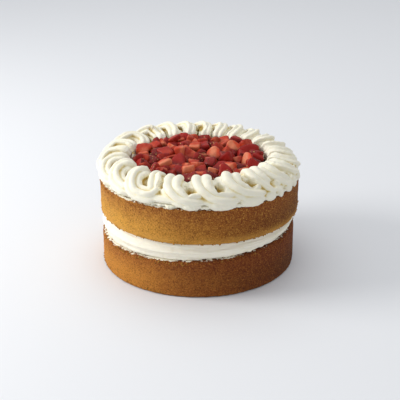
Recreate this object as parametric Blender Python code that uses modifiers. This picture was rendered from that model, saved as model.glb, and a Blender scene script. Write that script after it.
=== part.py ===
"""Strawberries and cream sandwich cake: two sponges, a cream filling, a spread
cream top, a piped rope of cream loops round the rim and a heap of cut strawberries.

Metres, +Z up. The cake stands on z = 0 with the middle of its foot at the origin,
and is looked at from -Y. Each solid keeps a small gap to the one it rests on.
"""

import math
import random

import bmesh
import bpy
from mathutils import Euler, Matrix, Vector, noise

MM = 0.001
GAP = 0.3 * MM                     # between solids that rest on each other

# Sponges: two 20 cm layers, shrunk a little from their tin
LOWER_RADIUS = 96.5 * MM
LOWER_HEIGHT = 37.0 * MM
LOWER_RIM = 4.2 * MM               # rounding of the domed top edge
LOWER_FOOT = 1.2 * MM              # rounding of the foot
LOWER_RISE = 4.6 * MM              # the right side baked this much higher than the middle
UPPER_RADIUS = 98.4 * MM
UPPER_BASE = 53.3 * MM             # underside of the upper sponge, on the filling
UPPER_TOP = 89.0 * MM
UPPER_RIM = 2.0 * MM
UPPER_FOOT = 4.0 * MM
UPPER_SHIFT = 1.2 * MM             # the upper sponge sits this far to the right
SPONGE_WOBBLE = 0.5 * MM

# Cream spread between the sponges and over the top
FILLING_RADIUS = 92.6 * MM
FILLING_BULGE = 1.0 * MM
FILLING_WOBBLE = 0.7 * MM
TOP_CREAM_RADIUS = 96.4 * MM
TOP_CREAM_THICKNESS = 2.4 * MM
TOP_CREAM_WOBBLE = 1.0 * MM

# Piped rope: each loop comes down from a crest beside the heap, swings out round a pit to
# the rim and goes back under the next loop. For each loop: the pit's angle round the cake in
# degrees, half the strand's width and the height of the crest's centre line, both in mm, and
# how far the loop stands open towards the heap, 0 to 1. The piping starts at the front
LOOPS = (
    (-95, 8.7, 12.2, 0.0), (-77, 8.9, 12.2, 0.0), (-57, 8.8, 12.2, 0.0), (-42, 8.4, 13.0, 0.0),
    (-28, 8.0, 12.4, 0.0), (-14, 7.6, 11.5, 0.1), (0, 7.4, 11.5, 0.1), (14, 7.4, 11.5, 0.1),
    (28, 7.4, 12.0, 0.2), (41, 7.4, 12.8, 0.4), (55, 7.0, 14.0, 0.6), (67, 6.8, 14.6, 0.7),
    (79, 7.0, 14.8, 0.6), (91, 7.2, 15.0, 0.7), (104, 7.0, 15.2, 0.6), (117, 7.6, 15.2, 0.7),
    (131, 7.4, 14.4, 0.8), (150, 7.2, 13.4, 0.8), (166, 6.9, 13.2, 0.4), (183, 6.9, 13.0, 0.2),
    (200, 7.2, 13.0, 0.1), (221, 8.2, 12.8, 0.0), (235, 8.0, 13.0, 0.0),
    (250, 7.4, 12.6, 0.0),         # only for the pitch of the loop before it
)
# One loop's centre line from its crest on: how far along (of the way to the next pit),
# radius in mm, height (of the crest's) and width (of the strand's)
CLOSED_LOOP = (
    (-0.58, 75.6, 1.00, 1.10), (-0.60, 81.5, 0.99, 1.10), (-0.50, 87.0, 0.74, 1.06),
    (-0.25, 91.0, 0.43, 1.02), (0.03, 91.8, 0.28, 0.96), (0.27, 90.4, 0.22, 0.90),
    (0.42, 85.5, 0.14, 0.84), (0.40, 79.0, 0.24, 0.80),
)
OPEN_LOOP = (
    (-0.50, 74.0, 0.46, 0.90), (-0.58, 80.0, 0.72, 1.00), (-0.50, 86.5, 0.95, 1.04),
    (-0.25, 90.5, 0.94, 1.02), (0.05, 91.5, 0.78, 0.96), (0.30, 89.5, 0.48, 0.90),
    (0.42, 84.0, 0.28, 0.85), (0.30, 77.5, 0.20, 0.85),
)
WIDE_STRAND = 8.6                  # mm; thinner strands reach as far in and out as this one
PIT_RADIUS = 84.0                  # mm
STRAND_CLEAR = 65.4 * MM           # the strands keep this far from the axis, clear of the heap
# The last strand lifts off inwards: angle, radius, height and half width in mm
TAIL = ((242, 91.0, 3.4, 8.0), (244, 86.0, 6.6, 8.0), (242.5, 80.5, 11.0, 7.6), (240.5, 75.5, 13.8, 7.2),
        (241, 73.0, 14.0, 6.6), (243, 72.0, 13.2, 6.0), (245.5, 71.5, 12.2, 5.4))
KNOTS_LEFT_FOR_TAIL = 3            # of the last loop's knots, which the tail takes the place of
RINGS_PER_KNOT = 3
OVERLAP_RINGS = 2                  # neighbouring lengths of strand share these
STRAND_RIDGES = 6                  # teeth of the star tip
RIDGE_DEPTH = 0.12                 # of the strand's radius
# Ring of cream under the strands: radius and height above the spread cream, in mm
RING_OUTLINE = ((70.5, 0.0), (95.0, 0.0), (97.0, 3.0), (94.5, 6.5), (90.0, 7.0), (86.0, 3.0),
                (83.0, 1.4), (78.0, 1.4), (75.0, 5.5), (72.0, 6.5), (69.0, 4.0), (70.5, 0.0))

# Heap of cut strawberries inside the ring
HEAP_RADIUS = 64.6 * MM
HEAP_FILL = 0.96                   # middles of the pieces lie within this share of it
HEAP_SIDES = 36
HEAP_FOOT = 1.0 * MM
HEAP_RIM = 3.0 * MM
HEAP_CORE_HEIGHT = 7.2 * MM
HEAP_CROWN = 0.6 * MM              # the middle stands a little higher
BERRY_SPACING = 12.4 * MM
BERRY_RADIUS = (10.5 * MM, 16.0 * MM)       # of the whole fruit that a piece is cut from
BERRY_LENGTH = (8.5 * MM, 16.5 * MM)        # along the fruit, between the cross cuts
BERRY_WEDGE = (math.radians(28), math.radians(50))   # half the wedge's angle
BERRY_POINT = 0.08                 # of the fruit's radius, from its core to the wedge's point
BERRY_MIDDLE = 0.56
BERRY_SLANT = (0.3, 0.2)           # most slope of an end cut, along and across the wedge
BERRY_TILT = 0.7                   # radians, either way
BERRY_STRAY = 2.6 * MM             # sideways, from the even spacing
BERRY_LIFT = (-2.6 * MM, 3.6 * MM)
BERRY_SEED = 11
# Large pieces that stand out of the heap: x, y and height above the cream, radius of the
# fruit and length in mm, half the wedge's angle in degrees, which way the cut side faces
# and which way the fruit's length runs
LARGE_PIECES = (
    (49.0, -9.0, 9.5, 9.5, 23.0, 76, (-0.75, -0.5, 0.4), (0.08, 0.7, 0.65)),
    (18.0, 50.0, 9.5, 7.5, 17.0, 70, (0.1, -0.9, 0.3), (0.05, 0.2, 1.0)),
    (16.0, 13.0, 10.0, 8.5, 18.0, 76, (-0.1, -0.8, 0.6), (0.1, 0.8, 0.6)),
    (35.0, 31.0, 11.0, 8.0, 15.0, 78, (0.0, -0.8, 0.6), (-0.5, 0.6, 0.6)),
    (-9.0, -37.0, 11.0, 14.0, 13.0, 45, (0.1, -0.5, 0.85), (1.0, 0.1, 0.1)),
    (-33.0, -23.0, 11.0, 14.0, 15.0, 42, (0.2, -0.6, 0.8), (0.8, 0.6, 0.2)),
    (29.0, -29.0, 10.5, 13.0, 15.0, 45, (-0.3, -0.6, 0.7), (0.7, -0.6, 0.2)),
    (5.0, 46.0, 10.0, 13.0, 11.0, 45, (0.0, -0.3, 0.95), (1.0, 0.3, 0.0)),
)
LARGE_CLEARANCE = 9.5 * MM         # other pieces' middles keep this far from a large one's

AROUND = 56                        # sides of the turned layers
JOIN_VOXEL = 1.0 * MM              # detail kept where pieces are joined
BORDER_TRIANGLES = 7200
HEAP_TRIANGLES = 3900


def material(name, colour, roughness):
    mat = bpy.data.materials.new(name)
    mat.use_nodes = True
    shader = mat.node_tree.nodes["Principled BSDF"]
    shader.inputs["Base Color"].default_value = (*colour, 1.0)
    shader.inputs["Roughness"].default_value = roughness
    shader.inputs["Metallic"].default_value = 0.0
    return mat


def add_object(name, bm, mat, collection):
    mesh = bpy.data.meshes.new(name)
    bm.to_mesh(mesh)
    bm.free()
    mesh.shade_smooth()
    mesh.set_sharp_from_angle(angle=math.radians(35))
    mesh.materials.append(mat)
    obj = bpy.data.objects.new(name, mesh)
    collection.objects.link(obj)
    return obj


def arc(centre, radius, start, end, steps):
    """Points of an arc in the (radius, height) plane."""
    turns = [start + (end - start) * i / steps for i in range(steps + 1)]
    return [(centre[0] + radius * math.cos(a), centre[1] + radius * math.sin(a)) for a in turns]


def layer_profile(radius, bottom, top, foot, rim, bulge=0.0, steps=2):
    """Half outline of a round layer, from the axis at the bottom to the axis at the top."""
    half_turn = math.pi / 2
    points = [(0.0, bottom)]
    points += arc((radius - foot, bottom + foot), foot, -half_turn, 0.0, steps)
    points += [(radius + bulge, (bottom + top) / 2)]
    points += arc((radius - rim, top - rim), rim, 0.0, half_turn, steps)
    return points + [(0.0, top)]


def face_out(bm):
    """Turns the faces of a closed mesh outwards."""
    bmesh.ops.recalc_face_normals(bm, faces=bm.faces)
    if bm.calc_volume(signed=True) < 0:
        bmesh.ops.reverse_faces(bm, faces=bm.faces)


def turned(profile, sides):
    """A bmesh of the profile turned about Z."""
    bm = bmesh.new()
    verts = [bm.verts.new((r, 0.0, z)) for r, z in profile]
    edges = [bm.edges.new(pair) for pair in zip(verts, verts[1:])]
    bmesh.ops.spin(bm, geom=verts + edges, axis=(0, 0, 1), cent=(0, 0, 0),
                   angle=2 * math.pi, steps=sides, use_merge=True)
    bmesh.ops.remove_doubles(bm, verts=bm.verts, dist=1e-6)
    face_out(bm)
    return bm


def lean(x, bottom_rise, top_rise, height_share):
    """Height added at x by a layer whose faces slope from left to right."""
    rise = bottom_rise + (top_rise - bottom_rise) * height_share
    return rise * x / LOWER_RADIUS


def uneven_layer(profile, wobble, seed, bottom_rise=0.0, top_rise=0.0, shift=0.0, wobble_scale=32.0):
    """A turned layer with a hand-made outline, and a top or bottom that may slope."""
    bottom = profile[0][1]
    height = profile[-1][1] - bottom
    bm = turned(profile, AROUND)
    for vert in bm.verts:
        x, y, z = vert.co
        radius = math.hypot(x, y)
        share = (z - bottom) / height
        spot = Vector((x * wobble_scale, y * wobble_scale, z * wobble_scale + seed))
        push = 1.0 + wobble * noise.noise(spot) * 2.0 / LOWER_RADIUS if radius > 0 else 1.0
        vert.co = (x * push + shift, y * push, z + lean(x, bottom_rise, top_rise, share))
    return bm


def blended(closed, wide, share):
    return [one + (two - one) * share for one, two in zip(closed, wide)]


def knot(degrees, radius, height, half_width, base):
    """A point of the strand's centre line with half its width as the fourth number."""
    turn = math.radians(degrees)
    spot = (radius * MM * math.cos(turn), radius * MM * math.sin(turn), base + height * MM, half_width * MM)
    return Vector(spot)


def loop_knots(number, base):
    """The knots of one loop, between the pits before and after its own."""
    angle, half_width, crest, opened = LOOPS[number]
    before = LOOPS[number - 1][0] if number else 2 * angle - LOOPS[1][0]
    after = LOOPS[number + 1][0]
    knots = []
    for closed, wide in zip(CLOSED_LOOP, OPEN_LOOP):
        along, radius, height, width = blended(closed, wide, opened)
        pitch = angle - before if along < 0 else after - angle
        spread = WIDE_STRAND - half_width
        radius += spread if radius > PIT_RADIUS else -spread
        knots.append(knot(angle + along * pitch, radius, height * crest, width * half_width, base))
    return knots


def smooth_line(knots):
    """A smooth curve through the knots, some rings to each."""
    ends = [knots[0]] + knots + [knots[-1]]
    line = []
    for before, one, two, after in zip(ends, ends[1:], ends[2:], ends[3:]):
        for ring in range(RINGS_PER_KNOT):
            t = ring / RINGS_PER_KNOT
            bend = 2 * before - 5 * one + 4 * two - after
            turn_back = 3 * (one - two) + after - before
            line.append(one + 0.5 * t * (two - before + t * (bend + t * turn_back)))
    return line + [knots[-1]]


def star_rings(line, base):
    """Star-shaped sections along the line. Their frame is carried on from one to the next,
    and they are flattened where they meet the cream below."""
    rings = []
    side = None
    for i, spot in enumerate(line):
        ahead = (line[min(i + 1, len(line) - 1)] - line[max(i - 1, 0)]).xyz.normalized()
        side = side - ahead * side.dot(ahead) if side else ahead.cross(Vector((0, 0, 1)))
        side.normalize()
        up = side.cross(ahead)
        ring = []
        for corner in range(2 * STRAND_RIDGES):
            spin = math.pi * (corner + 0.5) / STRAND_RIDGES
            reach = spot.w * (1 + RIDGE_DEPTH * (1 if corner % 2 else -1))
            point = spot.xyz + (side * math.cos(spin) + up * math.sin(spin)) * reach
            push = max(1.0, STRAND_CLEAR / math.hypot(point.x, point.y))
            ring.append(Vector((point.x * push, point.y * push, max(point.z, base))))
        rings.append(ring)
    return rings


def strand(rings):
    """A closed length of piped strand through these sections."""
    bm = bmesh.new()
    rings = [[bm.verts.new(point) for point in ring] for ring in rings]
    for one, two in zip(rings, rings[1:]):
        for i in range(len(one)):
            j = (i + 1) % len(one)
            bm.faces.new((one[i], one[j], two[j], two[i]))
    bm.faces.new(rings[0])
    bm.faces.new(rings[-1])
    bmesh.ops.triangulate(bm, faces=bm.faces)
    face_out(bm)
    return bm


def applied(obj):
    """The object with its modifiers made part of its mesh."""
    graph = bpy.context.evaluated_depsgraph_get()
    mesh = bpy.data.meshes.new_from_object(obj.evaluated_get(graph))
    obj.modifiers.clear()
    obj.data = mesh
    return mesh


def linked_to(vert):
    """All vertices that edges join to this one."""
    found, waiting = {vert}, [vert]
    while waiting:
        for edge in waiting.pop().link_edges:
            for end in edge.verts:
                if end not in found:
                    found.add(end)
                    waiting.append(end)
    return found


def keep_outer_skin(mesh):
    """Drops the skins of sealed hollows and any loose scrap: the largest shell stays."""
    bm = bmesh.new()
    bm.from_mesh(mesh)
    left, largest = set(bm.verts), set()
    while left:
        shell = linked_to(next(iter(left)))
        left -= shell
        largest = max(largest, shell, key=len)
    bmesh.ops.delete(bm, geom=[v for v in bm.verts if v not in largest], context="VERTS")
    bm.to_mesh(mesh)
    bm.free()


def joined(name, first, pieces, most_triangles):
    """Joins the collection's pieces to the first object with one union, then evens
    out and thins the small triangles that the joins leave."""
    join = first.modifiers.new("join pieces", "BOOLEAN")
    join.operand_type = "COLLECTION"
    join.collection = pieces
    join.operation = "UNION"
    join.solver = "MANIFOLD"
    even = first.modifiers.new("even out", "REMESH")
    even.mode = "VOXEL"
    even.voxel_size = JOIN_VOXEL
    mesh = applied(first)
    keep_outer_skin(mesh)
    mesh.calc_loop_triangles()
    thin = first.modifiers.new("thin out", "DECIMATE")
    thin.ratio = min(1.0, most_triangles / len(mesh.loop_triangles))
    thin.use_collapse_triangulate = True
    applied(first)
    first.name = name
    for piece in list(pieces.objects):
        bpy.data.objects.remove(piece)
    bpy.data.collections.remove(pieces)
    return first


def spare_collection(name):
    collection = bpy.data.collections.new(name)
    bpy.context.scene.collection.children.link(collection)
    return collection


def piped_border(base, mat, cake):
    """The rope of loops on a ring of cream, as one solid."""
    profile = [(radius * MM, base + height * MM) for radius, height in RING_OUTLINE]
    core = add_object("border core", turned(profile, AROUND), mat, cake)
    knots = []
    for number in range(len(LOOPS) - 1):
        knots += loop_knots(number, base)
    del knots[-KNOTS_LEFT_FOR_TAIL:]
    knots += [knot(*spot, base) for spot in TAIL]
    rings = star_rings(smooth_line(knots), base)
    strands = spare_collection("strands")
    per_loop = len(CLOSED_LOOP) * RINGS_PER_KNOT
    for first in range(0, len(rings) - OVERLAP_RINGS, per_loop):
        length = rings[first:first + per_loop + OVERLAP_RINGS]
        add_object(f"strand {first}", strand(length), mat, strands)
    return joined("piped_border", core, strands, BORDER_TRIANGLES)


def wedge_corners(fruit, half, length, rng):
    """Corners of a wedge cut from a strawberry, about the wedge's middle: two end
    cuts, each with its point at the fruit's core, two skin corners and the skin's crown."""
    outline = [(BERRY_POINT * fruit, 0.0), (fruit, -half), (fruit, 0.0), (fruit, half)]
    corners = []
    for way in (-0.5, 0.5):
        slope_along, slope_across = (rng.uniform(-slant, slant) for slant in BERRY_SLANT)
        for radius, turn in outline:
            x = radius * math.cos(turn) - BERRY_MIDDLE * fruit
            y = radius * math.sin(turn)
            corners.append(Vector((x, y, way * length + slope_along * x + slope_across * y)))
    return corners


def berry_piece(place, turn, corners, base):
    """The wedge as a box of eight corners, kept inside the ring and above the heap's foot."""
    bm = bmesh.new()
    bmesh.ops.create_cube(bm, size=2.0)
    for vert in bm.verts:
        x, y, z = (side > 0 for side in vert.co)
        round_outline = (3 if y else 2) if x else (0 if y else 1)
        spot = place + turn @ corners[4 * z + round_outline]
        squeeze = min(1.0, HEAP_RADIUS / math.hypot(spot.x, spot.y))
        vert.co = (spot.x * squeeze, spot.y * squeeze, max(spot.z, base + HEAP_FOOT))
    bmesh.ops.triangulate(bm, faces=bm.faces)
    face_out(bm)
    return bm


def large_piece(spot, base, rng):
    """One of the large pieces, turned so that its cut side and its length run as named."""
    x, y, height, fruit, length, half, facing, along = spot
    corners = wedge_corners(fruit * MM, math.radians(half), length * MM, rng)
    up = Vector(along).normalized()
    out = -Vector(facing)
    out = (out - up * out.dot(up)).normalized()
    turn = Matrix((out, up.cross(out), up)).transposed()
    return berry_piece(Vector((x * MM, y * MM, base + height * MM)), turn, corners, base)


def berry_places(base, rng):
    """Middles of the pieces that show: a loose triangular grid that fills the ring."""
    places = []
    row_step = BERRY_SPACING * math.sqrt(3) / 2
    rows = int(HEAP_RADIUS / row_step) + 1
    for row in range(-rows, rows + 1):
        for column in range(-rows, rows + 1):
            x = (column + 0.5 * (row % 2)) * BERRY_SPACING + rng.uniform(-BERRY_STRAY, BERRY_STRAY)
            y = row * row_step + rng.uniform(-BERRY_STRAY, BERRY_STRAY)
            out = math.hypot(x, y) / HEAP_RADIUS
            lift = HEAP_CORE_HEIGHT + HEAP_CROWN * (1 - out * out) + rng.uniform(*BERRY_LIFT)
            nearest = min(math.hypot(x - spot[0] * MM, y - spot[1] * MM) for spot in LARGE_PIECES)
            if out < HEAP_FILL and nearest > LARGE_CLEARANCE:
                places.append(Vector((x, y, base + lift)))
    return places


def strawberry_heap(base, mat, cake):
    """A low mound with the cut strawberries that show fused on."""
    rng = random.Random(BERRY_SEED)
    profile = layer_profile(HEAP_RADIUS, base, base + HEAP_CORE_HEIGHT, HEAP_FOOT, HEAP_RIM, steps=1)
    core = add_object("heap core", turned(profile, HEAP_SIDES), mat, cake)
    pieces = spare_collection("strawberry pieces")
    for number, place in enumerate(berry_places(base, rng)):
        roll, heading = rng.uniform(0, 2 * math.pi), rng.uniform(0, 2 * math.pi)
        tilt = rng.uniform(-BERRY_TILT, BERRY_TILT)
        turn = Euler((roll, tilt, heading)).to_matrix()
        sizes = [rng.uniform(*limits) for limits in (BERRY_RADIUS, BERRY_WEDGE, BERRY_LENGTH)]
        piece = berry_piece(place, turn, wedge_corners(*sizes, rng), base)
        add_object(f"berry {number}", piece, mat, pieces)
    for number, spot in enumerate(LARGE_PIECES):
        add_object(f"large berry {number}", large_piece(spot, base, rng), mat, pieces)
    return joined("strawberries", core, pieces, HEAP_TRIANGLES)


def main():
    for obj in list(bpy.data.objects):
        bpy.data.objects.remove(obj)
    cake = bpy.data.collections.new("strawberry_cream_cake")
    bpy.context.scene.collection.children.link(cake)

    crust = material("golden crust", (0.46, 0.22, 0.07), 0.8)
    cream = material("whipped cream", (0.90, 0.86, 0.72), 0.5)
    berry = material("cut strawberry", (0.45, 0.04, 0.03), 0.25)

    profile = layer_profile(LOWER_RADIUS, 0.0, LOWER_HEIGHT, LOWER_FOOT, LOWER_RIM)
    bm = uneven_layer(profile, SPONGE_WOBBLE, seed=1.0, top_rise=LOWER_RISE)
    add_object("sponge_lower", bm, crust, cake)

    profile = layer_profile(FILLING_RADIUS, LOWER_HEIGHT + GAP, UPPER_BASE - GAP, 1.5 * MM, 1.5 * MM,
                            bulge=FILLING_BULGE, steps=1)
    bm = uneven_layer(profile, FILLING_WOBBLE, seed=2.0, bottom_rise=LOWER_RISE)
    add_object("cream_filling", bm, cream, cake)

    profile = layer_profile(UPPER_RADIUS, UPPER_BASE, UPPER_TOP, UPPER_FOOT, UPPER_RIM)
    bm = uneven_layer(profile, SPONGE_WOBBLE, seed=3.0, shift=UPPER_SHIFT)
    add_object("sponge_upper", bm, crust, cake)

    spread_base = UPPER_TOP + GAP
    spread_top = spread_base + TOP_CREAM_THICKNESS
    profile = layer_profile(TOP_CREAM_RADIUS, spread_base, spread_top, 0.4 * MM, 1.4 * MM, steps=1)
    bm = uneven_layer(profile, TOP_CREAM_WOBBLE, seed=4.0, wobble_scale=60.0)
    add_object("cream_top", bm, cream, cake)

    rest = spread_top + GAP
    piped_border(rest, cream, cake)
    strawberry_heap(rest, berry, cake)


main()
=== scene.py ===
import itertools
import math
import random

import bmesh
import bpy
import numpy as np
from mathutils import Euler, Matrix, Vector


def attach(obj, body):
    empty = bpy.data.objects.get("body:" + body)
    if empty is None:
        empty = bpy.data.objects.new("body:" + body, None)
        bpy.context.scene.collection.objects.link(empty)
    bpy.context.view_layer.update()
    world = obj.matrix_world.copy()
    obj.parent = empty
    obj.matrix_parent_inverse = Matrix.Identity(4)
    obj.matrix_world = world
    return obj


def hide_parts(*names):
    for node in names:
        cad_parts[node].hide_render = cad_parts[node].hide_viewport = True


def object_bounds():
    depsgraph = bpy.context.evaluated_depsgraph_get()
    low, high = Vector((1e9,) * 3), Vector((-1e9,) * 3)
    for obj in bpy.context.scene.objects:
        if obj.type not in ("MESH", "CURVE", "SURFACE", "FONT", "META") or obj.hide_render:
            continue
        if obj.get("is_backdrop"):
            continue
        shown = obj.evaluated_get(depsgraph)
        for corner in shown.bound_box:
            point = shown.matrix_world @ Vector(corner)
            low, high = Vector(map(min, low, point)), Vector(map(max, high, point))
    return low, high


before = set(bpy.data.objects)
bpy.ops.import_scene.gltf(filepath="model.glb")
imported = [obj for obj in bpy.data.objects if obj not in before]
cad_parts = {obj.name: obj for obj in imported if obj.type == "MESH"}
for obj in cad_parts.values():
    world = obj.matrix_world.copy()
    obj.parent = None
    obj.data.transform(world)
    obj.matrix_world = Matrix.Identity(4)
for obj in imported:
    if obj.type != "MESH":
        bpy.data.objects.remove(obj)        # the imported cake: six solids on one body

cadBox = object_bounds()
mm = 0.001
print("loaded", len(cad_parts), "solids")


# unevenness that is the same on every run

def hashed(cell, seed):
    mixed = cell[:, 0] * 73856093 ^ cell[:, 1] * 19349663 ^ cell[:, 2] * 83492791 ^ seed * 2654435761
    mixed = (mixed ^ (mixed >> 13)) * 1274126177
    return ((mixed ^ (mixed >> 16)) & 0xFFFFFF) / 0xFFFFFF


# soft lumps from -1 to 1, of the given size
def lumps(points, size, seed):
    spot = np.asarray(points) / size
    cell = np.floor(spot).astype(np.int64)
    part = spot - cell
    part = part * part * (3 - 2 * part)
    total = np.zeros(len(spot))
    for corner in itertools.product((0, 1), repeat=3):
        share = np.prod(np.where(corner, part, 1 - part), axis=1)
        total += share * hashed(cell + corner, seed)
    return total * 2 - 1


def crumbly(points, size, seed):
    turned = np.asarray(points) @ np.array(Matrix.Rotation(0.9, 3, Vector((1, 2, 3)).normalized()))
    return 0.65 * lumps(points, size, seed) + 0.35 * lumps(turned, size * 0.47, seed + 7)


def ramp(values, start, end):
    part = np.clip((np.asarray(values, dtype=float) - start) / (end - start), 0, 1)
    return part * part * (3 - 2 * part)


# how far points lie from the axis
def radii(points):
    return np.hypot(points[:, 0], points[:, 1])


# meshes

def addPiece(name, points, faces, node, finish):
    mesh = bpy.data.meshes.new(name)
    mesh.from_pydata(points.tolist(), [], faces)
    mesh.shade_smooth()
    mesh.materials.append(finish)
    piece = bpy.data.objects.new(name, mesh)
    bpy.context.scene.collection.objects.link(piece)
    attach(piece, "root")
    if node:
        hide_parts(node)
    return piece


def addAttribute(piece, name, values):
    values = np.asarray(values, dtype=np.float32)
    kind = "FLOAT_VECTOR" if values.ndim == 2 else "FLOAT"
    field = piece.data.attributes.new(name, kind, "POINT")
    field.data.foreach_set("vector" if values.ndim == 2 else "value", values.ravel())


# faces of a net of points, row after row; the columns close into a ring
def netFaces(rows, columns):
    row, column = np.meshgrid(np.arange(rows - 1), np.arange(columns), indexing="ij")
    onward = (column + 1) % columns
    net = (row * columns + column, row * columns + onward, (row + 1) * columns + onward,
           (row + 1) * columns + column)
    return np.stack([corner.ravel() for corner in net], axis=1)


# the outline walked at even steps; points are (radius, height) in mm
def evenSteps(outline, step):
    outline = np.array(outline, dtype=float)
    lengths = np.hypot(*np.diff(outline, axis=0).T)
    walked = np.concatenate([[0], np.cumsum(lengths)])
    spots = np.linspace(0, walked[-1], max(2, round(walked[-1] / step)) + 1)
    return np.stack([np.interp(spots, walked, column) for column in outline.T], axis=1)


def arcPoints(radius, height, reach, start, end, steps=8):
    turns = np.radians(np.linspace(start, end, steps + 1))
    return list(zip(radius + reach * np.cos(turns), height + reach * np.sin(turns)))


# the skin of a round layer from its underside to its top: rows of points round the axis,
# with which way is out at each, in mm
def turnedSkin(outline, step, around):
    outline = evenSteps(outline, step)
    slope = np.gradient(outline, axis=0)
    out = np.stack([slope[:, 1], -slope[:, 0]], axis=1) / np.hypot(*slope.T)[:, None]
    turns = np.arange(around) * 2 * math.pi / around
    spin = np.stack([np.cos(turns), np.sin(turns)], axis=1)
    points = np.concatenate([outline[:, None, :1] * spin, np.repeat(outline[:, None, 1:], around, 1)], axis=2)
    ways = np.concatenate([out[:, None, :1] * spin, np.repeat(out[:, None, 1:], around, 1)], axis=2)
    return points.reshape(-1, 3), ways.reshape(-1, 3), netFaces(len(outline), around)


# closes the two small holes that a turned skin leaves at the axis
def closeEnds(points, faces, around):
    rows = len(points) // around
    ends = np.array([points[:around].mean(axis=0), points[-around:].mean(axis=0)])
    column = np.arange(around)
    first = np.stack([column, np.full(around, rows * around), (column + 1) % around], axis=1)
    top = (rows - 1) * around
    last = np.stack([top + column, top + (column + 1) % around, np.full(around, rows * around + 1)], axis=1)
    return np.concatenate([points, ends]), faces.tolist() + first.tolist() + last.tolist()


def unitBall(divisions):
    bm = bmesh.new()
    bmesh.ops.create_icosphere(bm, subdivisions=divisions, radius=1.0)
    points = np.array([v.co[:] for v in bm.verts])
    faces = np.array([[v.index for v in f.verts] for f in bm.faces])
    bm.free()
    return points, faces.tolist()


# several skins as one: their points, and their faces counted on
def joined(skins):
    starts = np.cumsum([0] + [len(points) for points, _ in skins]).tolist()
    faces = [[corner + start for corner in face] for start, (_, own) in zip(starts, skins) for face in own]
    return np.concatenate([points for points, _ in skins]), faces


# materials: a socket that takes part in Python sums
class Wire:
    def __init__(self, finish, socket):
        self.finish, self.socket = finish, socket

    def maths(self, operation, *others):
        return self.finish.node("Math", {"operation": operation}, [self, *others])

    def __add__(self, other):
        return self.maths("ADD", other)

    __radd__ = __add__

    def __mul__(self, other):
        return self.maths("MULTIPLY", other)

    __rmul__ = __mul__

    def __sub__(self, other):
        return self.maths("SUBTRACT", other)

    def __rsub__(self, other):
        return self.finish.node("Math", {"operation": "SUBTRACT"}, [other, self])

    def between(self, start, end):
        return self.finish.node("MapRange", {"interpolation_type": "SMOOTHSTEP"},
                                {"Value": self, "From Min": start, "From Max": end})


class Finish:
    def __init__(self, name):
        self.material = bpy.data.materials.new(name)
        self.material.use_nodes = True
        self.tree = self.material.node_tree
        self.shader = self.tree.nodes["Principled BSDF"]

    # adds a node by its type: its settings first, then the values or links of its sockets
    def node(self, kind, settings=None, values=(), out=0):
        added = self.tree.nodes.new("ShaderNode" + kind)
        for name, setting in (settings or {}).items():
            setattr(added, name, setting)
        for name, value in (values.items() if isinstance(values, dict) else enumerate(values)):
            self.feed(added.inputs[name], value)
        return Wire(self, added.outputs[out])

    def feed(self, socket, value):
        if isinstance(value, Wire):
            self.tree.links.new(value.socket, socket)
        elif socket.type == "RGBA" and len(value) == 3:
            socket.default_value = (*value, 1.0)
        else:
            socket.default_value = value

    # the Mix node has its color sockets at 6 and 7, and its color output at 2
    def mix(self, first, second, share, blend="MIX"):
        settings = {"data_type": "RGBA", "blend_type": blend}
        return self.node("Mix", settings, {0: share, 6: first, 7: second}, 2)

    def place(self):
        return self.node("TexCoord", out="Object")

    def xyz(self, place):
        return [self.node("SeparateXYZ", {}, [place], axis) for axis in "XYZ"]

    def noise(self, place, scale, detail=2.0, roughness=0.5):
        values = {"Vector": place, "Scale": scale, "Detail": detail, "Roughness": roughness}
        return self.node("TexNoise", {}, values)

    def attribute(self, name, out="Fac"):
        return self.node("Attribute", {"attribute_name": name}, out=out)

    def bump(self, height, distance, strength=1.0):
        return self.node("Bump", {}, {"Height": height, "Distance": distance, "Strength": strength})

    def set(self, **values):
        for name, value in values.items():
            self.feed(self.shader.inputs[name.replace("_", " ")], value)
        return self.material


creamLook = {
    "tint": (0.89, 0.86, 0.72),
    "warm": (0.86, 0.80, 0.56),
    "deep": (0.64, 0.46, 0.13),  # painted shade, in the hollows
    "berryStainAndShade": (0.16, 0.010, 0.006),  # strawberry juice stain, darkened into painted shade beside the heap
    "roughness": 0.45,
    "specular": 0.35,
    "scatter": 0.05,
    "scatterColor": (1.0, 0.75, 0.4),
    "scatterReach": 2.5 * mm,
    "fineScale": 900.0,
    "softScale": 160.0,
    "depth": 0.35 * mm,  # of the bump
}


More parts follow.
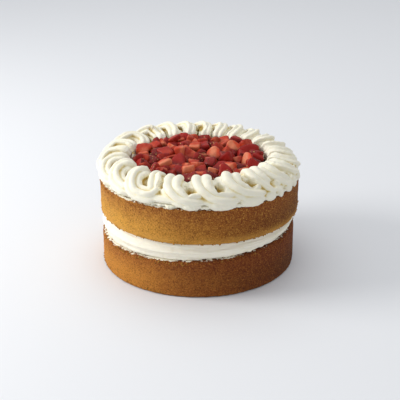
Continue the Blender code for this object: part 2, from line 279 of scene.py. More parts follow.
# sponge; sizes in mm, as the solids have them
lower = {
    "radius": 96.5, "bottom": 0.0, "top": 37.0, "foot": 1.2, "rim": 4.2, "rise": 4.6, "shift": 0.0,
    "bake": ((0.86, 0.67, 0.49), (0.66, 0.48, 0.36)),     # tints of its left and its right side: the crust's own tone, and the right one darker as painted shade away from the light
    "rub": 3.0,               # how far down the cream is rubbed over its edge
    "paleBand": (-3, 4),
    "roughRow": 36.0,         # the height of its crumbly edge
    "seed": 11,
}
upper = {
    "radius": 98.4, "bottom": 53.3, "top": 89.0, "foot": 4.0, "rim": 2.0, "rise": 0.0, "shift": 1.2,
    "bake": ((1.0, 0.93, 0.74), (0.97, 0.90, 0.68)),
    "rub": 2.4,
    "paleBand": (54, 64),
    "roughRow": 55.0,
    "seed": 31,
}
spongeLook = {
    "golden": (0.86, 0.46, 0.088),  # pale baked crumb, towards the light side: partly the crust's own paler bake, partly painted light
    "brown": (0.37, 0.112, 0.018),
    "red": (0.33, 0.086, 0.018),
    # dark crumb and specks; also the painted shade away from the light and in the creases
    "dark": (0.115, 0.030, 0.006),
    "pale": (0.82, 0.45, 0.11),  # crumb that shows at a rubbed edge
    "roughness": 0.85,
    "specular": 0.25,
    "patchScale": 28.0,
    "blotchScale": 150.0,
    "grainScale": 900.0,
    "crumbScale": 700.0,
    "poreScale": 700.0,
    "smearScale": 230.0,
    "depth": 1.6 * mm,  # of the bump
    "toGolden": -6.4,  # how fast it pales to the left and darkens to the right, as painted light and painted shade
    "toDark": 6.0,
    "shadeTurn": (-0.065, 0.0),  # where the left side's tint gives way to the right side's darker one, the painted shade
    "relief": ((0.45, 34), (0.28, 7), (0.22, 2.6)),      # how far out, and how large the lumps are
    "edgeRelief": (0.5, 2.6),
    "highest": 0.75,  # the relief's limit, before the skin is set back
    "setBack": 0.25,
    "inner": 86,  # its flat faces have no relief within this radius
    "step": 0.9,
    "around": 720,
}


def spongeFinish(name, size, paleBand):
    look, top = spongeLook, size["top"]
    finish = Finish(name)
    place = finish.place()
    x, y, z = finish.xyz(place)
    middle = (size["bottom"] + top) / 2 - 8
    patches = finish.noise(place, look["patchScale"], 3.0, 0.6)
    blotches = finish.noise(place, look["blotchScale"], 3.0, 0.6)
    grain = finish.noise(place, look["grainScale"], 3.0, 0.7)
    crumb = finish.noise(place, look["crumbScale"], 4.0, 0.85)
    pores = finish.node("TexVoronoi", {"feature": "F1"}, {"Vector": place, "Scale": look["poreScale"]})
    level = z - x * (size["rise"] / lower["radius"])
    # painted light and shade: golden towards the light, partly also the crust's own paler bake, and dark away
    # from it
    side = (x * look["toGolden"] + y * -0.6 + patches * 0.8 - 0.06).between(0.0, 1.0)
    tone = finish.mix(look["brown"], look["golden"], side)
    shaded = (x * look["toDark"] + patches * 0.5 - 0.22).between(0.0, 0.7)
    tone = finish.mix(tone, look["dark"], shaded * 0.88)
    # its upper part browned more
    browned = z.between(middle * mm, top * mm) * (blotches * 0.8 + patches * 0.6 - 0.1).between(0.0, 0.8)
    tone = finish.mix(tone, look["red"], browned * 0.9)
    # dark and pale crumb
    specks = (grain * 1.6 + blotches * 0.3 - 0.75).between(0.1, 0.7)
    tone = finish.mix(tone, look["dark"], specks * 0.55)
    tone = finish.mix(tone, look["pale"], (1.0 - grain).between(0.5, 0.72) * 0.35)
    tone = finish.mix(tone, look["dark"], crumb.between(0.52, 0.64) * 0.85)
    tone = finish.mix(tone, look["pale"], crumb.between(0.48, 0.36) * 0.7)
    low, high = paleBand
    band = z.between(high * mm, low * mm) * (patches * 0.7 + grain * 0.8 - 0.25).between(0.2, 0.6)
    tone = finish.mix(tone, look["pale"], band * 0.75)
    # the creases above and below the filling are darker: painted shade, broken up by crumbly crust
    edges = level.between((top - 2.0) * mm, top * mm)
    edges = edges + z.between((size["bottom"] + 2.5) * mm, size["bottom"] * mm)
    tone = finish.mix(tone, look["dark"], edges * (crumb * 1.2 - 0.1).between(0.2, 0.7) * 0.7)
    # painted shade: the side away from the light is multiplied by the darker tint
    left, right = size["bake"]
    tone = finish.mix(tone, finish.mix(left, right, x.between(*look["shadeTurn"])), 1.0, "MULTIPLY")
    # cream rubbed thinly over the upper edge
    stretched = finish.node("VectorMath", {"operation": "MULTIPLY"}, [place, (1.0, 1.0, 3.0)])
    rim = level.between((top - size["rub"]) * mm, (top + 0.6) * mm)
    rubbed = finish.noise(stretched, look["smearScale"], 4.0, 0.65) - x * 0.9 + rim * 0.5
    smear = rubbed.between(0.86, 0.94)
    tone = finish.mix(tone, creamLook["tint"], smear * 0.92)
    height = grain * 0.7 + (1 - pores) * 0.35 + blotches * 0.5 + crumb * 0.8
    height = height * (1 - smear * 0.85) + smear * 0.9
    return finish.set(Base_Color=tone, Roughness=look["roughness"], Specular_IOR_Level=look["specular"],
                      Normal=finish.bump(height, look["depth"]))


def makeSponge(name, node, size, finish):
    look, rim, foot = spongeLook, size["rim"], size["foot"]
    outline = [(look["inner"], size["bottom"])]
    outline += arcPoints(size["radius"] - foot, size["bottom"] + foot, foot, -90, 0)
    outline += arcPoints(size["radius"] - rim, size["top"] - rim, rim, 0, 90)
    outline += [(look["inner"] - 2, size["top"])]
    points, ways, faces = turnedSkin(outline, look["step"], look["around"])
    shares = (points[:, 2] - size["bottom"]) / (size["top"] - size["bottom"])
    out = ramp(radii(points), look["inner"], look["inner"] + 7)
    relief = sum(reach * crumbly(points, lump, size["seed"] + number)
                 for number, (reach, lump) in enumerate(look["relief"]))
    reach, lump = look["edgeRelief"]
    edge = ramp(np.abs(points[:, 2] - size["roughRow"]), 4.5, 0.0)
    relief += edge * (reach * crumbly(points, lump, size["seed"] + 3) - 0.15)
    relief = np.minimum(relief, look["highest"]) - look["setBack"]
    points += ways * (relief * out)[:, None]
    points[:, 2] += size["rise"] * shares * points[:, 0] / lower["radius"]
    points[:, 0] += size["shift"]
    points[:, 2] = np.maximum(points[:, 2], 0)
    points, faces = closeEnds(points, faces, look["around"])
    addPiece(name, points * mm, faces, node, finish)


makeSponge("lowerSponge", "sponge_lower", lower, spongeFinish("baked crust low", lower, lower["paleBand"]))
makeSponge("upperSponge", "sponge_upper", upper, spongeFinish("baked crust", upper, upper["paleBand"]))


looseCrumbs = {
    # which sponge they fell from, from and to which height, how many, and the middle and half
    # the width of the stretch they lie on, in degrees
    "rows": (
        (upper, 53.5, 57.5, 150, 265, 130), (upper, 54, 60, 60, 90, 120), (lower, 33.5, 36.5, 110, 240, 90),
        (lower, 0.6, 4.5, 60, 220, 60), (upper, 84, 87.5, 60, 235, 60), (lower, 34, 36.5, 60, 60, 120),
    ),
    "small": (0.35, 0.6),     # half their size, in mm
    "large": (0.6, 1.05),
    "smallShare": 0.75,
    "sunk": 0.25,
    "paleBand": (54, 88),
    "seed": 5,
}


# a spot on a sponge's side, a little under its skin
def crustSpot(size, turn, height):
    gaps = ((size["foot"], height - size["bottom"]), (size["rim"], size["top"] - height))
    inset = sum(corner - math.sqrt(max(0, corner ** 2 - max(0, corner - gap) ** 2)) for corner, gap in gaps)
    radius = size["radius"] - inset - looseCrumbs["sunk"]
    x, y = radius * math.cos(turn), radius * math.sin(turn)
    share = (height - size["bottom"]) / (size["top"] - size["bottom"])
    return np.array([x + size["shift"], y, height + size["rise"] * share * x / lower["radius"]])


def makeCrumbs(finish):
    rng = random.Random(looseCrumbs["seed"])
    ball, ballFaces = unitBall(2)
    skins = []
    for size, low, high, number, middle, half in looseCrumbs["rows"]:
        for _ in range(number):
            turn = math.radians(rng.triangular(middle - half, middle + half, middle))
            height = rng.uniform(low, high)
            kind = "small" if rng.random() < looseCrumbs["smallShare"] else "large"
            reach = rng.uniform(*looseCrumbs[kind])
            spot = crustSpot(size, turn, height)
            shape = ball * reach * [rng.uniform(0.7, 1.3) for _ in range(3)]
            shape = shape * (1 + 0.35 * lumps(ball * 3 + spot, 1.4, 91))[:, None] + spot
            shape[:, 2] = np.maximum(shape[:, 2], 0)
            skins.append((shape, ballFaces))
    points, faces = joined(skins)
    addPiece("crumbs", points * mm, faces, None, finish)


makeCrumbs(spongeFinish("loose crumb", upper, looseCrumbs["paleBand"]))
print("sponges baked")


# cream
def creamFinish(name, tint, hollows=False):
    look = creamLook
    finish = Finish(name)
    place = finish.place()
    fine = finish.noise(place, look["fineScale"])
    soft = finish.noise(place, look["softScale"], 3.0)
    tint = finish.mix(tint, look["warm"], soft.between(0.5, 0.8) * 0.4)
    if hollows:
        # painted shade: warm, then yellow-brown, in the hollows and inside the loops' mouths
        deep = finish.attribute("hollow")
        tint = finish.mix(tint, look["warm"], deep.between(0.0, 0.4))
        tint = finish.mix(tint, look["deep"], deep.between(0.25, 1.5))
        tint = finish.mix(tint, look["deep"], finish.attribute("mouth") * 0.9)
        # juice stains the wall inside the ring, darkened as painted shade low beside the heap
        flat = finish.node("VectorMath", {"operation": "MULTIPLY"}, [place, (1.0, 1.0, 0.0)])
        radius = finish.node("VectorMath", {"operation": "LENGTH"}, [flat], "Value")
        height = finish.node("SeparateXYZ", {}, [place], "Z")
        wallStainAndShade = radius.between(0.0680, 0.0662) * (height - soft * 0.004).between(0.1040, 0.0995)
        tint = finish.mix(tint, look["berryStainAndShade"], wallStainAndShade * 0.9)
    return finish.set(Base_Color=tint, Roughness=look["roughness"], Specular_IOR_Level=look["specular"],
                      Subsurface_Weight=look["scatter"], Subsurface_Radius=look["scatterColor"],
                      Subsurface_Scale=look["scatterReach"],
                      Normal=finish.bump(fine + soft * 0.4, look["depth"], 0.5))


filling = {
    "radius": 92.9, "bottom": 37.3, "top": 53.0, "bulge": 2.6, "edge": 1.5,
    # painted light: a brighter, warmer tint than the other cream's, against the shade it lies in under the
    # upper sponge
    "tint": (0.96, 0.915, 0.77),
    "strokes": (0.75, 0.45),      # how far the knife's broad and fine strokes stand out
    "lumps": ((0.3, 14, 7), (0.35, 3.5, 8)),      # how far out, how large, and their seed
    "blobs": (1.6, 4.0, 9),       # the same, along its lower edge
    "inner": 86,
    "step": 0.55,
    "around": 900,
}


def makeFilling():
    size, edge = filling, filling["edge"]
    outline = [(size["inner"], size["bottom"])]
    outline += arcPoints(size["radius"] - edge, size["bottom"] + edge, edge, -90, 0)
    outline += [(size["radius"] + size["bulge"], (size["bottom"] + size["top"]) / 2)]
    outline += arcPoints(size["radius"] - edge, size["top"] - edge, edge, 0, 90)
    outline += [(size["inner"], size["top"])]
    points, ways, faces = turnedSkin(outline, size["step"], size["around"])
    turns = np.arctan2(points[:, 1], points[:, 0])
    # knife strokes run round the cake and drift down a little
    along = np.stack([turns * 2.6, points[:, 2] * 0.55 + turns * 1.2, np.zeros(len(turns))], axis=1)
    broad, fine = size["strokes"]
    relief = crumbly(along, 1.0, 5) * broad + crumbly(along * [2.3, 2.4, 1], 1.0, 6) * fine
    for reach, lump, seed in size["lumps"]:
        relief = relief + reach * crumbly(points, lump, seed)
    reach, lump, seed = size["blobs"]
    low = ramp(points[:, 2], size["bottom"] + 4.5, size["bottom"] + 1.5)
    relief += reach * low * np.maximum(0, crumbly(points, lump, seed))
    out = ramp(radii(points), size["inner"], size["inner"] + 5)
    points = points + ways * (relief * out)[:, None]
    share = (points[:, 2] - size["bottom"]) / (size["top"] - size["bottom"])
    points[:, 2] += lower["rise"] * (1 - share) * points[:, 0] / lower["radius"]
    points, faces = closeEnds(points, faces, size["around"])
    addPiece("creamFilling", points * mm, faces, "cream_filling",
             creamFinish("cream filling", size["tint"]))


makeFilling()

topCream = {
    "radius": 96.6, "bottom": 89.0, "top": 91.7, "edge": 1.3,
    "spread": ((1.2, 9, 15), (0.9, 2.5, 16)),     # of its ragged edge: how far, how large, seed
    "reach": 0.7,
    "notches": (3.4, 4.0, 19),    # the same, where the knife left it thin
    "notchTurn": 4.1,             # radians, at the left front
    "ripples": (0.25, 3, 17),
    "step": 0.6,
    "around": 900,
}


def makeTopCream():
    size, edge = topCream, topCream["edge"]
    outline = [(86, size["bottom"] - 0.3)]
    outline += arcPoints(size["radius"] - edge, size["bottom"] + edge, edge, -90, 90)
    outline += [(84, size["top"])]
    points, ways, faces = turnedSkin(outline, size["step"], size["around"])
    radius = radii(points)
    turns = np.arctan2(points[:, 1], points[:, 0])
    ring = np.stack([np.cos(turns) * 96, np.sin(turns) * 96, np.zeros(len(turns))], axis=1)
    reach = size["reach"]
    for far, lump, seed in size["spread"]:
        reach = reach + far * crumbly(ring, lump, seed)
    far, lump, seed = size["notches"]
    thin = ramp(np.cos(turns - size["notchTurn"]), 0.5, 0.9)
    reach -= far * thin * np.maximum(0, crumbly(ring, lump, seed) + 0.15)
    outer = ramp(radius, 88, 96)
    points[:, :2] *= (1 + outer * reach / radius)[:, None]
    far, lump, seed = size["ripples"]
    points += ways * (outer * far * crumbly(points, lump, seed))[:, None]
    # it follows the sponge's rim down
    over = radii(points) - upper["radius"] + upper["rim"]
    over = np.clip(over, 0, upper["rim"])
    points[:, 2] -= upper["rim"] - np.sqrt(upper["rim"] ** 2 - over ** 2)
    points[:, 0] += upper["shift"]
    points, faces = closeEnds(points, faces, size["around"])
    addPiece("topCream", points * mm, faces, "cream_top",
             creamFinish("whipped cream", creamLook["tint"]))


makeTopCream()
print("cream spread")


# the piped rope of loops

# the pits that the loops turn round, from the start at the front, on round the right side:
# angle, half the strand's width, how high the crest's middle lies, and how open the loop
# stands towards the heap; mm
loops = (
    (-95, 8.7, 12.2, 0), (-77, 8.9, 12.2, 0), (-57, 8.8, 12.2, 0), (-42, 8.4, 13.0, 0),
    (-28, 8.0, 12.4, 0), (-14, 7.6, 11.5, 0.1), (0, 7.4, 11.5, 0.1), (14, 7.4, 11.5, 0.1),
    (28, 7.4, 12.0, 0.2), (41, 7.4, 12.8, 0.4), (55, 7.0, 14.0, 0.6), (67, 6.8, 14.6, 0.7),
    (79, 7.0, 14.8, 0.6), (91, 7.2, 15.0, 0.7), (104, 7.0, 15.2, 0.6), (117, 7.6, 15.2, 0.7),
    (131, 7.4, 14.4, 0.8), (150, 7.2, 13.4, 0.8), (166, 6.9, 13.2, 0.4), (183, 6.9, 13.0, 0.2),
    (200, 7.2, 13.0, 0.1), (221, 8.2, 12.8, 0), (235, 8.5, 13.0, 0),
    (250, 7.4, 12.6, 0),      # only for the pitch of the loop before it
)
# one loop of the strand, from its crest out, round by the rim and back under the next one:
# how far along (of the way to the next pit), radius, height (of the crest's), width
oneLoop = (
    (-0.58, 75.6, 1.00, 1.10), (-0.60, 81.5, 0.99, 1.10), (-0.50, 87.0, 0.74, 1.06),
    (-0.25, 91.0, 0.43, 1.02), (0.03, 91.8, 0.28, 0.96), (0.27, 90.4, 0.22, 0.90),
    (0.42, 85.5, 0.14, 0.84), (0.40, 79.0, 0.24, 0.80),
)
# the same for a loop that stands open towards the heap
openLoop = (
    (-0.50, 74.0, 0.46, 0.90), (-0.58, 80.0, 0.72, 1.00), (-0.50, 86.5, 0.95, 1.04),
    (-0.25, 90.5, 0.94, 1.02), (0.05, 91.5, 0.78, 0.96), (0.30, 89.5, 0.48, 0.90),
    (0.42, 84.0, 0.28, 0.85), (0.30, 77.5, 0.20, 0.85),
)
rope = {
    "base": 92.0,
    "steps": 48,           # of one loop
    "sections": 96,        # points round the strand
    "lobes": 6,
    "twist": 0.006,        # of its ridges, in radians for each mm
    "groove": 0.34,
    "shift": 0.6,          # the swells and the mouths lie this far to the right
    # the last strand lifts off inwards: angle, radius, height, half width
    "tail": ((242, 91.0, 3.4, 8.0), (244, 86.0, 6.6, 8.0), (242.5, 80.5, 11.0, 7.6), (240.5, 75.5, 13.8, 7.2),
             (241, 73.0, 14.0, 6.6), (243, 72.0, 13.2, 6.0), (245.5, 71.5, 12.2, 5.4)),
    # the ring of cream under the strands: radius, height above the spread cream
    "ring": ((65.8, -0.1), (95, -0.1), (97, 3), (94.5, 6.5), (90, 7), (86, 3), (83, 1.4), (78, 1.4),
             (75, 5.5), (72, 7.5), (68.5, 7.5), (66, 5), (65.8, -0.1)),
    # cream that fills the last loop: its middle and half sizes
    "fill": ((-46.0, -62.0, 99.0), (6.2, 6.2, 5.5)),
    "clear": 65.4,         # the strands keep this far from the axis
    # swells over the rim: angle, how far down, half their length
    "swells": ((266, 0.6, 9), (283, 1.6, 13), (301, 2.4, 13), (313, 2.0, 7), (321, 2.6, 4),
               (330, 2.4, 6), (338, 2.8, 4), (348, 1.6, 7)),
    # where the loops stand open: angle, radius and height of the mouth, how far it faces out
    # (or in, below nought) against up, depth, reach round its axis and along the rim
    "hollows": (
        (264.7, 84.6, 6, 0.8, 7.5, 3.4, 3.0), (282.4, 81.5, 6, 0.8, 8, 3.8, 3.2),
        (302.3, 82.5, 6, 0.8, 8, 3.8, 3.2), (316.1, 91.0, 6, 0.8, 7, 3.6, 3.2),
        (332.7, 91.3, 6, 0.8, 6.5, 3.4, 3.0), (247.0, 79.0, 6, 0.7, 6, 3.4, 2.6),
        (218.0, 77.5, 9, 0.5, 4, 2.4, 2.0), (27.1, 90.0, 12, -0.3, 5, 3.6, 4.0),
        (54.4, 87.0, 13, -0.9, 6, 3.0, 2.0), (65.8, 86.0, 13, -0.9, 6, 3.0, 2.0),
        (88.4, 82.0, 14, -1.0, 6, 4.2, 3.2), (104.5, 84.0, 14, -1.0, 4.5, 3.4, 2.6),
        (124.5, 85.0, 14, -1.0, 4, 5.0, 4.6), (147.8, 79.0, 14, -1.0, 4, 4.6, 4.4),
    ),
    "tip": ((1.2, 0.94), (2.4, 0.80), (3.4, 0.60), (4.2, 0.36)),
    "teeth": 3.0,          # how far the ridges stand out of its torn end
    # a swell: half its size outwards and up, and how far out its middle lies
    "swell": (4.6, 3.4, 95.6),
    "smoothing": 45,       # rounds of smoothing that tell how deep a hollow is
    "voxel": 0.62 * mm,
    "triangles": 190000,
}


# points on a smooth curve through the knots
def smoothLine(knots, spots):
    knots = np.asarray(knots, dtype=float)
    first = np.clip(np.floor(spots).astype(int), 0, len(knots) - 2)
    part = (spots - first)[:, None]
    near = [knots[np.clip(first + k, 0, len(knots) - 1)] for k in (-1, 0, 1, 2)]
    bend = 2 * near[0] - 5 * near[1] + 4 * near[2] - near[3]
    bend = bend + part * (3 * (near[1] - near[2]) + near[3] - near[0])
    return near[1] + 0.5 * part * (near[2] - near[0] + part * bend)


# where the strand's middle runs, and half its width there
def ropeCentre():
    rng = random.Random(3)
    knots = []
    pits = [2 * loops[0][0] - loops[1][0]] + [loop[0] for loop in loops]
    for (angle, halfWidth, crest, opened), before, after in zip(loops, pits, pits[2:]):
        for closed, wide in zip(oneLoop, openLoop):
            along, radius, height, width = (one + (two - one) * opened for one, two in zip(closed, wide))
            pitch = angle - before if along < 0 else after - angle
            angleHere = math.radians(angle + along * pitch + rng.uniform(-0.35, 0.35))
            radius += rng.uniform(-0.5, 0.5) + (8.6 - halfWidth) * (1 if radius > 84 else -1)
            width *= halfWidth * rng.uniform(0.96, 1.04)
            knots.append((radius * math.cos(angleHere), radius * math.sin(angleHere),
                          rope["base"] + height * crest + rng.uniform(-0.3, 0.3), width))
    del knots[-3:]
    for angle, radius, height, width in rope["tail"]:
        knots.append((radius * math.cos(math.radians(angle)), radius * math.sin(math.radians(angle)),
                      rope["base"] + height, width))
    line = smoothLine(knots, np.arange(0, len(knots) - 3, len(oneLoop) / rope["steps"]))
    # its start is round and its end draws out to a torn tip
    back, ahead = line[0, :3] - line[2, :3], line[-1, :3] - line[-3, :3]
    back, ahead = back / np.linalg.norm(back), ahead / np.linalg.norm(ahead)
    start = [[*(line[0, :3] + back * step), line[0, 3] * share] for step, share in rope["tip"][::-1]]
    tip = [[*(line[-1, :3] + ahead * step), line[-1, 3] * share] for step, share in rope["tip"]]
    line = np.concatenate([start, line, tip])
    return line[:, :3], line[:, 3]


# a tube of cream from a star nozzle along the centres
def starTube(centres, halfWidths):
    ahead = np.gradient(centres, axis=0)
    ahead /= np.linalg.norm(ahead, axis=1)[:, None]
    side = np.zeros_like(ahead)
    side[0] = np.cross(ahead[0], [0, 0, 1])
    for index in range(len(ahead)):
        carried = side[max(0, index - 1)]
        carried = carried - ahead[index] * (carried @ ahead[index])
        side[index] = carried / np.linalg.norm(carried)
    up = np.cross(side, ahead)
    sections = rope["sections"]
    spins = np.arange(sections) * 2 * math.pi / sections
    walked = np.concatenate([[0], np.cumsum(np.linalg.norm(np.diff(centres, axis=0), axis=1))])
    # the right side was piped faster: finer, sharper ridges with torn tips
    angle = np.arctan2(centres[:, 1], centres[:, 0])
    hasty = ramp(np.cos(angle - 0.1), 0.35, 0.9)[:, None]
    lobeTurn = rope["lobes"] * (spins[None, :] + walked[:, None] * rope["twist"]) / 2
    lobe = np.abs(np.cos(lobeTurn)) ** 0.8
    fine = np.abs(np.cos(lobeTurn * 2 + 0.4)) ** 0.8
    ending = ramp(walked, walked[-1] - 26, walked[-1] - 4)[:, None]
    reach = 1.07 - (rope["groove"] + 0.2 * ending) * (1 - lobe) - hasty * 0.10 * (1 - fine) + 0.1 * ending
    spots = np.stack(np.broadcast_arrays(walked[:, None] * 0.22, np.cos(spins)[None, :] * 2,
                                         np.sin(spins)[None, :] * 2), axis=2).reshape(-1, 3)
    reach = reach * (1 + 0.07 * crumbly(spots, 1.0, 21).reshape(reach.shape))
    tears = crumbly(spots * [2.6, 1.5, 1.5], 1.0, 23).reshape(reach.shape)
    reach = reach + hasty * lobe * 0.10 * tears
    reach = reach * halfWidths[:, None]
    ring = side[:, None, :] * (np.cos(spins)[None, :] * reach)[:, :, None]
    ring = ring + up[:, None, :] * (np.sin(spins)[None, :] * reach)[:, :, None]
    # its end is torn off: the ridges stand out as teeth round a hollow
    for row, share in enumerate((0.2, 0.5, 0.8, 1.0), start=-4):
        ring[row] += ahead[-1] * rope["teeth"] * share * lobe[-1][:, None] ** 1.5
    # the crests spread sideways until they almost touch
    radius = radii(centres)
    rimWay = np.stack([-centres[:, 1], centres[:, 0], np.zeros(len(centres))], axis=1) / radius[:, None]
    frontShare = ramp(np.cos(angle + 1.22), 0.45, 0.85)
    spread = 0.30 * ramp(radius, 89, 83) * frontShare
    ring += rimWay[:, None, :] * (np.einsum("ijk,ik->ij", ring, rimWay) * spread[:, None])[:, :, None]
    points = (centres[:, None, :] + ring).reshape(-1, 3)
    points = np.concatenate([points, [centres[-1]]])
    # it rests on the spread cream, and droops a little over the rim
    overRim = ramp(np.hypot(points[:, 0] - upper["shift"], points[:, 1]), 97.5, 100.0)
    points[:, 2] = np.maximum(points[:, 2], rope["base"] - 0.2 - 3.2 * overRim)
    turns = np.arctan2(points[:, 1], points[:, 0])
    rim = np.stack([np.cos(turns) * 60, np.sin(turns) * 60, points[:, 2] * 0.3], axis=1)
    tornEdge = ramp(np.cos(turns + 0.45), 0.55, 0.95) * ramp(points[:, 2], 99, 92)
    tornEdge = tornEdge * ramp(radii(points), 92, 98)
    points[:, :2] *= (1 - tornEdge * np.maximum(0, crumbly(rim, 2.6, 25)) * 0.045)[:, None]
    points[:, :2] *= np.maximum(1, rope["clear"] / radii(points))[:, None]
    points = np.clip(points, np.array(cadBox[0]) / mm, np.array(cadBox[1]) / mm)
    faces = netFaces(len(centres), sections).tolist()
    end = (len(centres) - 1) * sections
    faces.append(list(range(sections))[::-1])
    faces += [[end + k, end + (k + 1) % sections, end + sections] for k in range(sections)]
    return points, faces


# swells of cream that hang a little over the rim under the front loops
def rimSwell(angle, drop, reach):
    points, faces = unitBall(4)
    outward, upward, radius = rope["swell"]
    turn = math.radians(angle)
    out = np.array([math.cos(turn), math.sin(turn), 0])
    along = np.array([-math.sin(turn), math.cos(turn), 0])
    ridges = 1 + 0.05 * np.cos(points[:, 1] * 14 + points[:, 2] * 5)
    shaped = (out * points[:, :1] * outward + along * points[:, 1:2] * reach) * ridges[:, None]
    shaped[:, 2] += points[:, 2] * (upward + drop)
    shaped += 0.35 * np.stack([crumbly(shaped + angle, 3.0, 81 + k) for k in range(3)], axis=1)
    return shaped + out * radius + [rope["shift"], 0, rope["base"] - 0.4], faces


def makeRope():
    skins = [starTube(*ropeCentre())]
    skins += [rimSwell(*swell) for swell in rope["swells"]]
    points, _, faces = turnedSkin(np.array(rope["ring"]) + [0, rope["base"]], 1.5, 300)
    skins.append((points, faces.tolist()))
    points, faces = unitBall(4)
    middle, reach = rope["fill"]
    skins.append((points * reach + middle + 0.5 * crumbly(points * 5, 3.0, 27)[:, None] * points, faces))
    points, faces = joined(skins)

    piece = addPiece("pipedBorder", points * mm, faces, "piped_border",
                     creamFinish("piped cream", creamLook["tint"], True))
    fuse = piece.modifiers.new("fuse", "REMESH")
    fuse.mode = "VOXEL"
    fuse.voxel_size = rope["voxel"]
    applyAll(piece)
    openHollows(piece)
    soften = piece.modifiers.new("soften", "SMOOTH")
    soften.factor = 0.5
    soften.iterations = 1
    applyAll(piece)
    keepLargest(piece)
    thin = piece.modifiers.new("thin", "DECIMATE")
    thin.ratio = min(1, rope["triangles"] / (2 * len(piece.data.polygons)))
    applyAll(piece)
    # how deep each point lies in a hollow and inside a mouth, for the painted shade of the piped cream
    addAttribute(piece, "hollow", hollowness(piece))
    addAttribute(piece, "mouth", insideMouth(piece))


def readPoints(mesh, kind="co"):
    points = np.empty((len(mesh.vertices), 3))
    mesh.vertices.foreach_get(kind, points.ravel())
    return points


def readEdges(mesh):
    edges = np.empty((len(mesh.edges), 2), dtype=np.int64)
    mesh.edges.foreach_get("vertices", edges.ravel())
    return edges


# how far from the axis of each loop's mouth the points lie, how deep, and which way the axis runs
def mouths(points):
    for angle, radius, height, faces, depth, across, along in rope["hollows"]:
        turn = math.radians(angle)
        x, y = radius * math.cos(turn) + rope["shift"], radius * math.sin(turn)
        spot = np.array([x, y, rope["base"] + height])
        inward = np.array([-faces * math.cos(turn), -faces * math.sin(turn), -0.8])
        inward /= np.linalg.norm(inward)
        rim = np.array([-math.sin(turn), math.cos(turn), 0])
        offset = points - spot
        far = np.sqrt((offset @ rim / along) ** 2 + (offset @ np.cross(inward, rim) / across) ** 2)
        yield far, offset @ inward, inward, depth


# presses the mouths of the loops in along their axes
def openHollows(piece):
    points = readPoints(piece.data) / mm
    uneven = 1 + 0.25 * lumps(points, 3.0, 71)
    for far, deep, inward, depth in mouths(points):
        points += inward * (depth * ramp(far * uneven, 1.7, 0.35) * ramp(deep, depth + 3, 2))[:, None]
    points[:, 2] = np.maximum(points[:, 2], rope["base"] - 5.5)
    piece.data.vertices.foreach_set("co", (points * mm).ravel())
    piece.data.update()


# how far each point lies inside a mouth, from 0 to 1
def insideMouth(piece):
    share = np.zeros(len(piece.data.vertices))
    for far, deep, inward, depth in mouths(readPoints(piece.data) / mm):
        inside = ramp(far, 1.6, 0.5) * ramp(deep, -1, 4.5) * ramp(deep, depth + 9, depth + 4)
        share = np.maximum(share, inside)
    return share


# how deep each point lies in a hollow, in mm: how far a well smoothed skin passes over it
def hollowness(piece):
    mesh = piece.data
    points, ways = readPoints(mesh), readPoints(mesh, "normal")
    edges = readEdges(mesh)
    here, there = np.concatenate([edges, edges[:, ::-1]]).T
    number = np.bincount(here, minlength=len(points))
    smooth = points.copy()
    for _ in range(rope["smoothing"]):
        sums = [np.bincount(here, smooth[there, k], len(points)) for k in range(3)]
        smooth = np.stack(sums, axis=1) / number[:, None]
    return ((smooth - points) * ways).sum(axis=1) / mm


def applyAll(piece):
    graph = bpy.context.evaluated_depsgraph_get()
    mesh = bpy.data.meshes.new_from_object(piece.evaluated_get(graph))
    piece.modifiers.clear()
    piece.data = mesh
    mesh.shade_smooth()


# drops the skins of sealed hollows
def keepLargest(piece):
    mesh = piece.data
    edges = readEdges(mesh)
    label = np.arange(len(mesh.vertices))
    while True:
        lowest = np.minimum(label[edges[:, 0]], label[edges[:, 1]])
        new = label.copy()
        np.minimum.at(new, edges[:, 0], lowest)
        np.minimum.at(new, edges[:, 1], lowest)
        new = new[new]
        if (new == label).all():
            break
        label = new
    names, counts = np.unique(label, return_counts=True)
    if len(names) == 1:
        return
    keep = label == names[counts.argmax()]
    bm = bmesh.new()
    bm.from_mesh(mesh)
    bmesh.ops.delete(bm, geom=[v for v in bm.verts if not keep[v.index]], context="VERTS")
    bm.to_mesh(mesh)
    bm.free()


makeRope()
print("border piped")


# strawberries

berries = {
    "ring": 64.6,          # the heap stays within this radius
    "spacing": 12.2,
    "stray": 2.5,          # how far the small pieces lie off an even net
    "lift": (-1.5, 3.5),
    "inner": 0.86,         # the share of the radius that they fill
    "clearance": 7.6,      # their middles keep this far from a large one's
    "base": 92.0,
    "top": 115.9,
    "coreHeight": 5.6,
    "fruit": (11.5, 17.0),
    "length": (10.0, 18.0),
    "wedge": (28, 50),
    # a row along the wall of cream
    "wallPieces": 34,
    "wallReach": (57.5, 60.5),
    "wallLift": (7.0, 10.5),
    "wallClearance": 5,
    "whole": 4,            # so many of the large pieces are as large as listed
    "shrink": 0.93,        # the others are this much of it
    "edgePower": 8,        # how sharp the cut edges are
    "seed": 11,
}
